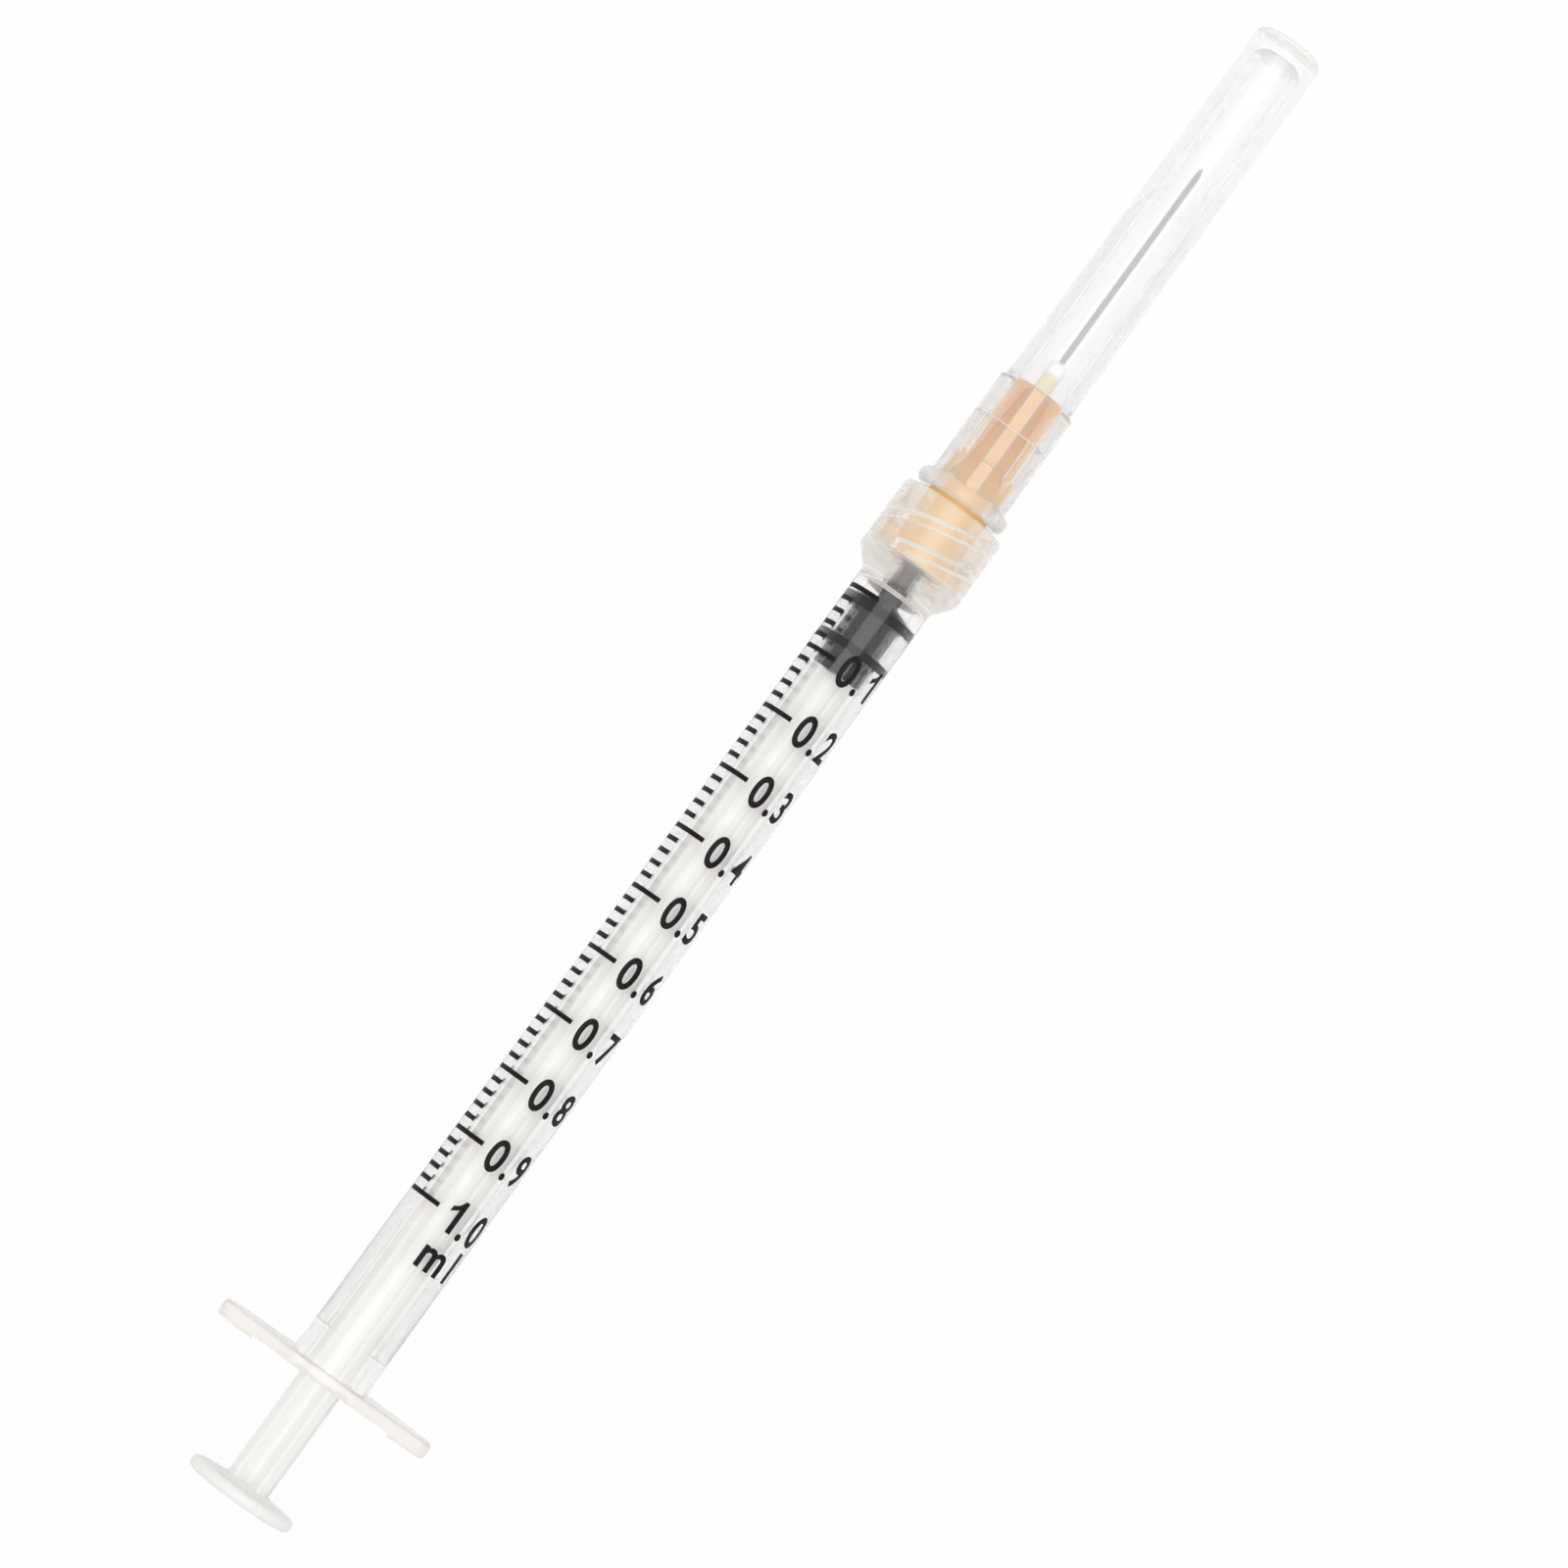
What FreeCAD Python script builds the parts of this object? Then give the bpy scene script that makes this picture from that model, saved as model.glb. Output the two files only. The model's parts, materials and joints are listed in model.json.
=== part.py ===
import FreeCAD, Part
import math
import os

# Luer lock syringe of 1 ml, with a needle screwed on under its cap.
#
# Lengths are in millimetres and angles in degrees. The syringe lies along X,
# thumb rest at the low end and needle at the high end, as it rests on a table:
# on its thumb rest and on the flat of its finger flange. The origin is on the
# table under the middle of the whole length. Inside the functions X is counted
# from the rear face of the thumb rest, and the axis is the X axis; the pieces
# are moved to the origin at the end.
#
# Angles round the axis are counted from straight up (+Z) towards +Y.

# Plunger rod, one moulding
thumb_rest_diameter = 9.4
thumb_rest_thickness = 1.05
thumb_rest_rounding = 0.45
rod_exposed_length = 9.95
rod_rib_thickness = 1.15
rod_rib_reach = 2.07
rod_rib_turn = 40.0
rod_valley_rounding = 0.4
rod_tip_rounding = 0.15
rod_root_diameter = 5.2
rod_root_height = 0.35
rod_neck_diameter = 1.9
rod_neck_length = 1.2
snap_head_diameter = 3.1
snap_head_length = 1.9
snap_head_rounding = 0.5

# Barrel, one moulding: flange, tube, cone, locking collar and male tip
bore_diameter = 4.7
bore_length = 75.1
bore_lead_in = 0.3
bore_end_slope = 0.5
flange_span = 19.5
flange_depth = 9.4
flange_flat_width = 5.4
flange_tip_width = 4.8
flange_middle_thickness = 1.05
flange_pad_height = 0.25
flange_pad_start = 6.4
flange_tip_rounding = 2.2
flange_corner_rounding = 2.5
flange_edge_rounding = 0.3
tube_rear_diameter = 6.66
tube_front_diameter = 6.46
flare_diameter = 6.9
flare_length = 2.0
flare_rounding = 6.0
retainer_height = 0.08
retainer_width = 0.85
retainer_slope_length = 0.2
retainer_distance = 2.15
end_wall = 0.65
collar_diameter = 9.07
collar_cone_length = 1.5
collar_cylinder_length = 6.2
collar_rounding = 0.8
collar_depth = 5.6
collar_mouth_chamfer = 0.3
thread_root_diameter = 8.0
thread_lead = 5.0
male_tip_diameter = 3.93
male_tip_projection = 1.05
male_tip_rounding = 0.2
luer_taper = 0.06
tip_bore_diameter = 2.2

# Scale printed on the tube
full_volume = 1000.0
scale_divisions = 50
divisions_per_long_mark = 5
mark_width = 0.4
ink_thickness = 0.03
long_mark_start = 12.4
short_mark_start = 46.0
mark_end = 77.0

# Plunger stopper, one rubber moulding
stopper_length = 6.48
stopper_home_gap = 1.05
ring_width = 0.95
ring_rounding = 0.25
front_ring_setback = 0.25
rear_ring_setback = 1.85
stopper_core_diameter = 4.24
stopper_front_diameter = 4.3
stopper_nose_diameter = 1.9
stopper_nose_length = 6.9
nose_rounding = 0.5

# Needle hub, one moulding
hub_seat_gap = 0.2
socket_depth = 7.5
socket_funnel_length = 0.9
hub_mouth_diameter = 5.3
hub_body_diameter = 5.44
hub_body_length = 7.3
lug_span = 7.7
lug_length = 1.1
lug_width = 2.4
lug_setback = 0.6
fin_count = 4
fin_thickness = 0.95
fin_shoulder_diameter = 5.36
fin_shoulder_end = 9.45
fin_step_length = 0.3
fin_envelope_diameter = 4.34
fin_end = 16.48
fin_front_length = 0.3
fin_front_diameter = 2.0
flute_floor_diameter = 4.7
flute_middle_diameter = 3.4
flute_middle = 9.2
hub_core_diameter = 2.3
hub_nose_diameter = 1.46
hub_nose_end = 18.4

# Needle cannula, 25 gauge, and its bead of adhesive
cannula_diameter = 0.5
cannula_bore_diameter = 0.26
cannula_rear_inset = 9.0
cannula_exposed_length = 20.15
cannula_bevel_angle = 13.0
bead_diameter = 1.5
bead_length = 1.2
bead_rounding = 0.6

# Needle cap, one moulding
cap_length = 44.88
cap_wall_grip = 0.595
bead_rim_diameter = 8.1
bead_rim_length = 1.36
bead_rim_rounding = 0.6
cap_mouth_chamfer = 0.35
cap_grip_length = 7.08
cap_skirt_length = 10.56
cap_shoulder_length = 0.25
cap_body_diameter = 6.04
cap_tip_diameter = 5.86
cap_tip_rounding = 0.7
cap_well_diameter = 3.7
cap_well_start = 12.4
cap_well_end = 28.03
cap_point_diameter = 2.8
cap_end_wall = 1.45
cap_rib_count = 4
cap_rib_turn = 48.3
cap_rib_width = 0.8
cap_rib_length = 3.75
cap_rib_height = 0.2

# Clearances between pieces that move on each other
sliding_clearance = 0.05
cap_clearance = 0.06
collet_clearance = 0.16
rod_stopper_gap = 0.06
taper_clearance = 0.03
cap_to_collar_gap = 0.42
glue_line = 0.01

# Stations along the axis that more than one piece needs
thumb_rest_front = thumb_rest_thickness
flange_rear = thumb_rest_front + rod_exposed_length
flange_front = flange_rear + flange_middle_thickness
bore_end = flange_rear + bore_length
tube_end = bore_end + end_wall
collar_start = tube_end + collar_cone_length
collar_front = collar_start + collar_cylinder_length
collar_floor = collar_front - collar_depth
male_tip_end = collar_front + male_tip_projection
stopper_front = bore_end - stopper_home_gap
stopper_rear = stopper_front - stopper_length
retainer_rear = flange_front + retainer_distance
hub_mouth = collar_floor + hub_seat_gap
cap_rim = collar_front + cap_to_collar_gap
cap_tip = cap_rim + cap_length
axis_height = max(thumb_rest_diameter, flange_depth) / 2

# Radii that more than one piece needs
bore_radius = bore_diameter / 2
ring_radius = bore_radius - sliding_clearance
cap_grip_radius = hub_body_diameter / 2 + cap_clearance
cap_collet_radius = fin_envelope_diameter / 2 + collet_clearance

axis_point = FreeCAD.Vector(0, 0, 0)
axis_direction = FreeCAD.Vector(1, 0, 0)


def tube_radius(x):
    """Outside radius of the drafted tube, between its flare and its front end."""
    start = flange_front + flare_length
    share = (x - start) / (tube_end - start)
    return (tube_rear_diameter + share * (tube_front_diameter - tube_rear_diameter)) / 2


def male_taper_radius(x):
    """Radius of the male tip's taper at x."""
    return male_tip_diameter / 2 + luer_taper / 2 * (male_tip_end - x)


def rounded_wire(corners, place):
    """Closed wire through corners of (u, v, rounding); place turns (u, v) into a point."""
    edges = []
    last_end = None
    first_start = None
    count = len(corners)
    for index in range(count):
        u, v, rounding = corners[index]
        here = FreeCAD.Vector(u, v, 0)
        before = FreeCAD.Vector(corners[index - 1][0], corners[index - 1][1], 0)
        after = FreeCAD.Vector(corners[(index + 1) % count][0], corners[(index + 1) % count][1], 0)
        start = here
        end = here
        if rounding > 0:
            back = (before - here).normalize()
            ahead = (after - here).normalize()
            half_angle = back.getAngle(ahead) / 2
            start = here + back * (rounding / math.tan(half_angle))
            end = here + ahead * (rounding / math.tan(half_angle))
            inward = (back + ahead).normalize()
            centre = here + inward * (rounding / math.sin(half_angle))
            middle = centre - inward * rounding
        if last_end is not None:
            edges.append(Part.makeLine(place(last_end), place(start)))
        if rounding > 0:
            edges.append(Part.Arc(place(start), place(middle), place(end)).toShape())
        if first_start is None:
            first_start = start
        last_end = end
    edges.append(Part.makeLine(place(last_end), place(first_start)))
    return Part.Wire(edges)


def turned(corners):
    """Solid turned about the axis from corners of (x, radius, rounding)."""
    wire = rounded_wire(corners, lambda point: FreeCAD.Vector(point.x, 0, point.y))
    return Part.Face(wire).revolve(axis_point, axis_direction, 360)


def extruded(corners, rear, front):
    """Prism along the axis from corners of (y, z, rounding), from rear to front."""
    wire = rounded_wire(corners, lambda point: FreeCAD.Vector(rear, point.x, point.y))
    return Part.Face(wire).extrude(FreeCAD.Vector(front - rear, 0, 0))


def turn_about_axis(shape, angle):
    """Copy of the shape turned from +Z towards +Y by angle."""
    copy = shape.copy()
    copy.rotate(axis_point, axis_direction, -angle)
    return copy


def thumb_rest():
    """Round plate that the thumb presses, with a low boss where the ribs meet it."""
    radius = thumb_rest_diameter / 2
    root = rod_root_diameter / 2
    return turned([
        (0, 0, 0),
        (0, radius, thumb_rest_rounding),
        (thumb_rest_front, radius, thumb_rest_rounding),
        (thumb_rest_front, root, 0),
        (thumb_rest_front + rod_root_height, rod_rib_reach, 0),
        (thumb_rest_front + rod_root_height, 0, 0),
    ])


def rod_shaft():
    """Four ribs in a cross, turned so that two of them lie on either side of the top."""
    half = rod_rib_thickness / 2
    corners = []
    for rib in range(4):
        angle = math.radians(rod_rib_turn + 90 * rib)
        along = (math.cos(angle), math.sin(angle))
        across = (-along[1], along[0])
        for reach, side, rounding in (
            (rod_rib_reach, -half, rod_tip_rounding),
            (rod_rib_reach, half, rod_tip_rounding),
            (half, half, rod_valley_rounding),
        ):
            y = reach * along[0] + side * across[0]
            z = reach * along[1] + side * across[1]
            corners.append((y, z, rounding))
    return extruded(corners, thumb_rest_front, stopper_rear - rod_stopper_gap)


def snap_head(growth, rear):
    """Neck and mushroom head that hold the stopper; growth makes the socket for them."""
    neck = rod_neck_diameter / 2 + growth
    head = snap_head_diameter / 2 + growth
    head_rear = stopper_rear + rod_neck_length - growth
    head_front = head_rear + snap_head_length + 2 * growth
    return turned([
        (rear, 0, 0),
        (rear, neck, 0),
        (head_rear, neck, 0),
        (head_rear, head, 0),
        (head_front, head, snap_head_rounding),
        (head_front, 0, 0),
    ])


def plunger_rod():
    head = snap_head(0, stopper_rear - rod_stopper_gap)
    return thumb_rest().multiFuse([rod_shaft(), head]).removeSplitter()


def plunger_stopper():
    """Rubber stopper: two sealing rings on a core, and a nose that fills the tip."""
    core = stopper_core_diameter / 2
    front_ring_front = stopper_front - front_ring_setback
    rear_ring_rear = stopper_rear + rear_ring_setback
    nose = stopper_nose_diameter / 2
    nose_root = stopper_front + bore_end_slope
    body = turned([
        (stopper_rear, 0, 0),
        (stopper_rear, core, 0),
        (rear_ring_rear, core, 0),
        (rear_ring_rear, ring_radius, ring_rounding),
        (rear_ring_rear + ring_width, ring_radius, ring_rounding),
        (rear_ring_rear + ring_width, core, 0),
        (front_ring_front - ring_width, core, 0),
        (front_ring_front - ring_width, ring_radius, ring_rounding),
        (front_ring_front, ring_radius, 0),
        (stopper_front, stopper_front_diameter / 2, 0),
        (nose_root, nose, 0),
        (nose_root + stopper_nose_length, nose, nose_rounding),
        (nose_root + stopper_nose_length, 0, 0),
    ])
    return body.cut(snap_head(rod_stopper_gap, stopper_rear - rod_stopper_gap))


def finger_flange():
    """Two wings for the fingers, flat above and below so that the syringe can't roll."""
    span = flange_span / 2
    depth = flange_depth / 2
    flat = flange_flat_width / 2
    tip = flange_tip_width / 2
    pad_rear = flange_rear - flange_pad_height
    plate = extruded([
        (flat, depth, flange_corner_rounding),
        (span, tip, flange_tip_rounding),
        (span, -tip, flange_tip_rounding),
        (flat, -depth, flange_corner_rounding),
        (-flat, -depth, flange_corner_rounding),
        (-span, -tip, flange_tip_rounding),
        (-span, tip, flange_tip_rounding),
        (-flat, depth, flange_corner_rounding),
    ], pad_rear, flange_front)
    faces = [face for face in plate.Faces if face.normalAt(0, 0).cross(axis_direction).Length == 0]
    rims = [edge for face in faces for edge in face.Edges]
    plate = plate.makeFillet(flange_edge_rounding, rims)
    corner = FreeCAD.Vector(pad_rear, -flange_pad_start, -depth)
    recess = Part.makeBox(flange_pad_height, 2 * flange_pad_start, flange_depth, corner)
    return plate.cut(recess)


def barrel_outside():
    """Tube with its flare, the cone, the collar and the male tip, still solid."""
    flare_end = flange_front + flare_length
    collar = collar_diameter / 2
    return turned([
        (flange_rear, 0, 0),
        (flange_rear, flare_diameter / 2, 0),
        (flange_front, flare_diameter / 2, 0),
        (flare_end, tube_rear_diameter / 2, flare_rounding),
        (tube_end, tube_front_diameter / 2, collar_rounding),
        (collar_start, collar, collar_rounding),
        (collar_front, collar, collar_rounding),
        (collar_front, male_taper_radius(collar_front), 0),
        (male_tip_end, male_tip_diameter / 2, male_tip_rounding),
        (male_tip_end, 0, 0),
    ])


def plunger_bore():
    """Space that the plunger slides in, its retaining ring, and the bore of the tip."""
    tip_bore = tip_bore_diameter / 2
    retainer_front = retainer_rear + retainer_width
    crest = bore_radius - retainer_height
    return turned([
        (flange_rear, 0, 0),
        (flange_rear, bore_radius + bore_lead_in, 0),
        (flange_rear + bore_lead_in, bore_radius, 0),
        (retainer_rear, bore_radius, 0),
        (retainer_rear + retainer_slope_length, crest, 0),
        (retainer_front - retainer_slope_length, crest, 0),
        (retainer_front, bore_radius, 0),
        (bore_end, bore_radius, 0),
        (bore_end + bore_end_slope, tip_bore, 0),
        (male_tip_end, tip_bore, 0),
        (male_tip_end, 0, 0),
    ])


def collar_recess():
    """Ring-shaped space between the male tip and the collar, where the hub screws in."""
    root = thread_root_diameter / 2
    return turned([
        (collar_floor, male_taper_radius(collar_floor), 0),
        (collar_floor, root, 0),
        (collar_front - collar_mouth_chamfer, root, 0),
        (collar_front, root + collar_mouth_chamfer, 0),
        (collar_front, male_taper_radius(collar_front), 0),
    ])


def barrel():
    outside = barrel_outside().fuse(finger_flange())
    return outside.cut(plunger_bore()).cut(collar_recess()).removeSplitter()


def scale_mark(x, start_angle):
    """Ink line round part of the tube at x, from start_angle to the common end."""
    rear = x - mark_width / 2
    front = x + mark_width / 2
    section = Part.Face(Part.makePolygon([
        FreeCAD.Vector(rear, 0, tube_radius(rear)),
        FreeCAD.Vector(front, 0, tube_radius(front)),
        FreeCAD.Vector(front, 0, tube_radius(front) + ink_thickness),
        FreeCAD.Vector(rear, 0, tube_radius(rear) + ink_thickness),
        FreeCAD.Vector(rear, 0, tube_radius(rear)),
    ]))
    section = turn_about_axis(section, start_angle)
    return section.revolve(axis_point, -axis_direction, mark_end - start_angle)


def scale_marks():
    """Fifty divisions of 0.02 ml; the bore's area sets how far apart they lie."""
    bore_area = math.pi * bore_radius ** 2
    pitch = full_volume / bore_area / scale_divisions
    marks = []
    for division in range(scale_divisions + 1):
        is_long = division % divisions_per_long_mark == 0
        start_angle = long_mark_start if is_long else short_mark_start
        marks.append(scale_mark(stopper_front - division * pitch, start_angle))
    return Part.makeCompound(marks)


def hub_body():
    """Round rear part, fluted middle and slim nose of the hub."""
    mouth = hub_mouth_diameter / 2
    body = hub_body_diameter / 2
    core = hub_core_diameter / 2
    return turned([
        (hub_mouth, 0, 0),
        (hub_mouth, mouth, 0),
        (cap_rim, body, 0),
        (hub_mouth + hub_body_length, body, 0),
        (hub_mouth + hub_body_length, flute_floor_diameter / 2, 0),
        (hub_mouth + flute_middle, flute_middle_diameter / 2, 0),
        (hub_mouth + fin_end, core, 0),
        (hub_mouth + fin_end + fin_front_length / 2, hub_nose_diameter / 2, 0),
        (hub_mouth + hub_nose_end, hub_nose_diameter / 2, 0),
        (hub_mouth + hub_nose_end, 0, 0),
    ])


def hub_fin():
    """One upright fin: high where the cap grips it, then lower, with a steep front."""
    rear = hub_mouth + hub_body_length - fin_step_length
    shoulder = hub_mouth + fin_shoulder_end
    end = hub_mouth + fin_end
    profile = [
        (rear, 0),
        (rear, fin_shoulder_diameter / 2),
        (shoulder, fin_shoulder_diameter / 2),
        (shoulder + fin_step_length, fin_envelope_diameter / 2),
        (end, fin_envelope_diameter / 2),
        (end + fin_front_length, fin_front_diameter / 2),
        (end + fin_front_length, 0),
        (rear, 0),
    ]
    side = -fin_thickness / 2
    outline = Part.makePolygon([FreeCAD.Vector(x, side, z) for x, z in profile])
    return Part.Face(outline).extrude(FreeCAD.Vector(0, fin_thickness, 0))


def hub_lug():
    """Lug at +Y that runs in the collar's thread, tilted by the thread's lead."""
    outer = lug_span / 2
    tilt = math.degrees(math.atan(thread_lead / (math.pi * lug_span)))
    rear = hub_mouth + lug_setback
    middle = FreeCAD.Vector(rear + lug_length / 2, 0, 0)
    lug = Part.makeBox(lug_length, outer, lug_width, FreeCAD.Vector(rear, 0, -lug_width / 2))
    lug.rotate(middle, FreeCAD.Vector(0, 1, 0), tilt)
    sweep_length = lug_length + lug_width
    sweep_start = middle - axis_direction * (sweep_length / 2)
    return lug.common(Part.makeCylinder(outer, sweep_length, sweep_start, axis_direction))


def hub_socket():
    """Female taper for the male tip, its funnel, and the hole for the cannula."""
    socket_end = hub_mouth + socket_depth
    cannula_hole = cannula_diameter / 2 + glue_line
    return turned([
        (hub_mouth, 0, 0),
        (hub_mouth, male_taper_radius(hub_mouth) + taper_clearance, 0),
        (socket_end, male_taper_radius(socket_end) + taper_clearance, 0),
        (socket_end + socket_funnel_length, cannula_hole, 0),
        (hub_mouth + hub_nose_end, cannula_hole, 0),
        (hub_mouth + hub_nose_end, 0, 0),
    ])


def needle_hub():
    lug = hub_lug()
    fins = [turn_about_axis(hub_fin(), 360 / fin_count * index) for index in range(fin_count)]
    solid = hub_body().multiFuse(fins + [lug, turn_about_axis(lug, 180)])
    return solid.cut(hub_socket()).removeSplitter()


def needle_cannula():
    """Steel tube, ground to a slanted point with its open side up."""
    radius = cannula_diameter / 2
    rear = hub_mouth + cannula_rear_inset
    tip = hub_mouth + hub_nose_end + cannula_exposed_length
    start = FreeCAD.Vector(rear, 0, 0)
    tube = Part.makeCylinder(radius, tip - rear, start, axis_direction)
    lumen = Part.makeCylinder(cannula_bore_diameter / 2, tip - rear, start, axis_direction)
    bevel_length = cannula_diameter / math.tan(math.radians(cannula_bevel_angle))
    wedge = Part.makePolygon([
        FreeCAD.Vector(tip, -radius, -radius),
        FreeCAD.Vector(tip, -radius, radius),
        FreeCAD.Vector(tip - bevel_length, -radius, radius),
        FreeCAD.Vector(tip, -radius, -radius),
    ])
    ground_away = Part.Face(wedge).extrude(FreeCAD.Vector(0, cannula_diameter, 0))
    return tube.cut(lumen).cut(ground_away)


def needle_adhesive():
    """Domed bead of glue round the cannula at the end of the hub's nose."""
    rear = hub_mouth + hub_nose_end
    hole = cannula_diameter / 2
    return turned([
        (rear, hole, 0),
        (rear, bead_diameter / 2, 0),
        (rear + bead_length, bead_diameter / 2, bead_rounding),
        (rear + bead_length, hole, 0),
    ])


def cap_outside():
    """Bead rim, gripped skirt, shoulder and long tapered body of the cap."""
    skirt = cap_grip_radius + cap_wall_grip
    bead = bead_rim_diameter / 2
    bead_end = cap_rim + bead_rim_length
    skirt_end = cap_rim + cap_skirt_length
    return turned([
        (cap_rim, 0, 0),
        (cap_rim, bead, bead_rim_rounding),
        (bead_end, bead, bead_rim_rounding),
        (bead_end, skirt, 0),
        (skirt_end, skirt, 0),
        (skirt_end + cap_shoulder_length, cap_body_diameter / 2, 0),
        (cap_tip, cap_tip_diameter / 2, cap_tip_rounding),
        (cap_tip, 0, 0),
    ])


def cap_inside():
    """Space inside the cap: grip, collet round the fins, well, and narrow end."""
    grip_end = cap_rim + cap_grip_length
    well_start = cap_rim + cap_well_start
    well_end = cap_rim + cap_well_end
    fins_end = hub_mouth + fin_end
    well = cap_well_diameter / 2
    point = cap_point_diameter / 2
    bottom = cap_tip - cap_end_wall
    return turned([
        (cap_rim, 0, 0),
        (cap_rim, cap_grip_radius + cap_mouth_chamfer, 0),
        (cap_rim + cap_mouth_chamfer, cap_grip_radius, 0),
        (grip_end, cap_grip_radius, 0),
        (grip_end, cap_collet_radius, 0),
        (fins_end + cap_clearance, cap_collet_radius, 0),
        (well_start, well, 0),
        (well_end, well, 0),
        (well_end, point, 0),
        (bottom, point, point / 2),
        (bottom, 0, 0),
    ])


def cap_rib():
    """Low bullet-ended rib inside the grip, in line with the gap between two fins."""
    front = cap_rim + cap_grip_length
    rear = front - cap_rib_length
    half = cap_rib_width / 2
    bottom = cap_grip_radius - cap_rib_height
    top = cap_grip_radius + cap_wall_grip / 2
    nose = FreeCAD.Vector(rear, 0, bottom)
    flank_left = FreeCAD.Vector(rear + half, half, bottom)
    flank_right = FreeCAD.Vector(rear + half, -half, bottom)
    front_left = FreeCAD.Vector(front, half, bottom)
    front_right = FreeCAD.Vector(front, -half, bottom)
    outline = Part.Wire([
        Part.Arc(flank_left, nose, flank_right).toShape(),
        Part.makeLine(flank_right, front_right),
        Part.makeLine(front_right, front_left),
        Part.makeLine(front_left, flank_left),
    ])
    return Part.Face(outline).extrude(FreeCAD.Vector(0, 0, top - bottom))


def needle_cap():
    shell = cap_outside().cut(cap_inside())
    rib = cap_rib()
    turns = [cap_rib_turn + 360 / cap_rib_count * index for index in range(cap_rib_count)]
    ribs = [turn_about_axis(rib, turn) for turn in turns]
    return shell.multiFuse(ribs).removeSplitter()


pieces = {
    "barrel": barrel(),
    "scale_marks": scale_marks(),
    "plunger_rod": plunger_rod(),
    "plunger_stopper": plunger_stopper(),
    "needle_hub": needle_hub(),
    "needle_cannula": needle_cannula(),
    "needle_adhesive": needle_adhesive(),
    "needle_cap": needle_cap(),
}

os.makedirs("parts", exist_ok=True)
to_origin = FreeCAD.Vector(-cap_tip / 2, 0, axis_height)
for name, shape in pieces.items():
    shape.translate(to_origin)
    shape.exportStep("parts/" + name + ".step")
    print(name, "solids:", len(shape.Solids), "valid:", shape.isValid(), shape.BoundBox)
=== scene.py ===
import json
import math
import bmesh
import bpy
from mathutils import Matrix, Vector

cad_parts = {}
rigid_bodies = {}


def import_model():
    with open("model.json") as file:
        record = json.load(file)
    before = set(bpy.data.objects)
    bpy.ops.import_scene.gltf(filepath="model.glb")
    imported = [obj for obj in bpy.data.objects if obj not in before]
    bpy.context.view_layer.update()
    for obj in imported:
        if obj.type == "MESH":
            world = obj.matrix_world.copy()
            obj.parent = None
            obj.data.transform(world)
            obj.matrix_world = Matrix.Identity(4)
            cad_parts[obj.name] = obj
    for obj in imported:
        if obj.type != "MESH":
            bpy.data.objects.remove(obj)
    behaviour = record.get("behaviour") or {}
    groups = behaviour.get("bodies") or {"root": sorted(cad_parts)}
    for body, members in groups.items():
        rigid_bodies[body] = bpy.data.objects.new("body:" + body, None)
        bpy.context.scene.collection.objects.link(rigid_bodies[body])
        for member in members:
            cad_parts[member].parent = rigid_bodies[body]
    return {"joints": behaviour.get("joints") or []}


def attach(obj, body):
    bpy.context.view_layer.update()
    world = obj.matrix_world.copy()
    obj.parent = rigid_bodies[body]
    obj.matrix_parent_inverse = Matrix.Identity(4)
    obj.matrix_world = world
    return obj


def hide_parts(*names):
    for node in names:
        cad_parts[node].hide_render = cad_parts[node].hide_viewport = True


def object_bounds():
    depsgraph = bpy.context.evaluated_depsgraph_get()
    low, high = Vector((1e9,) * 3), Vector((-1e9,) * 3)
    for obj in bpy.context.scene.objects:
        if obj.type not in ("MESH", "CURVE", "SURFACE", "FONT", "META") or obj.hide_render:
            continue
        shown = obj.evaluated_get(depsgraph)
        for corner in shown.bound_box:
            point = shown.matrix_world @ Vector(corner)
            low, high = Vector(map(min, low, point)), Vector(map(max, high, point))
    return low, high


# Luer lock syringe with a needle screwed on under its cap, lying on a white table.
#
# The pieces are drawn in millimetres, with the syringe's axis along X: a station
# is counted from the rear face of the thumb rest, and a radius from the axis.
# Angles round the axis are in degrees, from straight up towards +Y. A finished
# piece is brought into the scene's metres when it gets its material.

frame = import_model()
cad_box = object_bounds()

MM = 0.001
REAR = cad_box[0].x
AXIS_Z = next(joint["pos_m"][2] for joint in frame["joints"] if joint["name"] == "rod_spin")
TO_SCENE = Matrix.Translation((REAR, 0, AXIS_Z)) @ Matrix.Scale(MM, 4)

# Smoothness of the turned forms
SIDES = 144
ARC_STEP = 15
MERGE = 0.0005

# Stations of the plunger
THUMB_REST_END = 1.05
STOPPER_REAR = 78.57
STOPPER_FRONT = 85.05

# Stations of the barrel
FLANGE_REAR = 11.0
FLANGE_FRONT = 12.05
FLARE_END = 14.05
RETAINER = 14.2
BORE_END = 86.1
TUBE_END = 86.75
COLLAR_START = 88.25
COLLAR_FLOOR = 88.85
COLLAR_END = 94.45
MALE_TIP_END = 95.5

# Stations of the needle and its cap
HUB_REAR = 89.05
CAP_RIM = 94.87
HUB_ROUND_END = 96.35
GRIP_END = 101.95
SKIRT_END = 105.43
FINS_END = 105.53
NOSE_END = 107.45
BEAD_END = 108.65
POCKET_END = 107.27
WELL_END = 122.9
NEEDLE_TIP = 127.6
CAP_BOTTOM = 138.3
CAP_END = 139.75

# Radii
BORE = 2.35
TUBE_REAR = 3.33
TUBE_FRONT = 3.23
FLARE = 3.45
COLLAR = 4.535
THREAD_ROOT = 4.0
THREAD_CREST = 3.5
TIP_BORE = 1.1
HUB_BODY = 2.72
CAP_GRIP = 2.78
CAP_SKIRT = 3.375
CAP_COLLET = 2.33
CAP_BEAD = 4.05
THUMB_REST = 4.7
RIB_REACH = 2.07
STOPPER_CORE = 2.12

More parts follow.
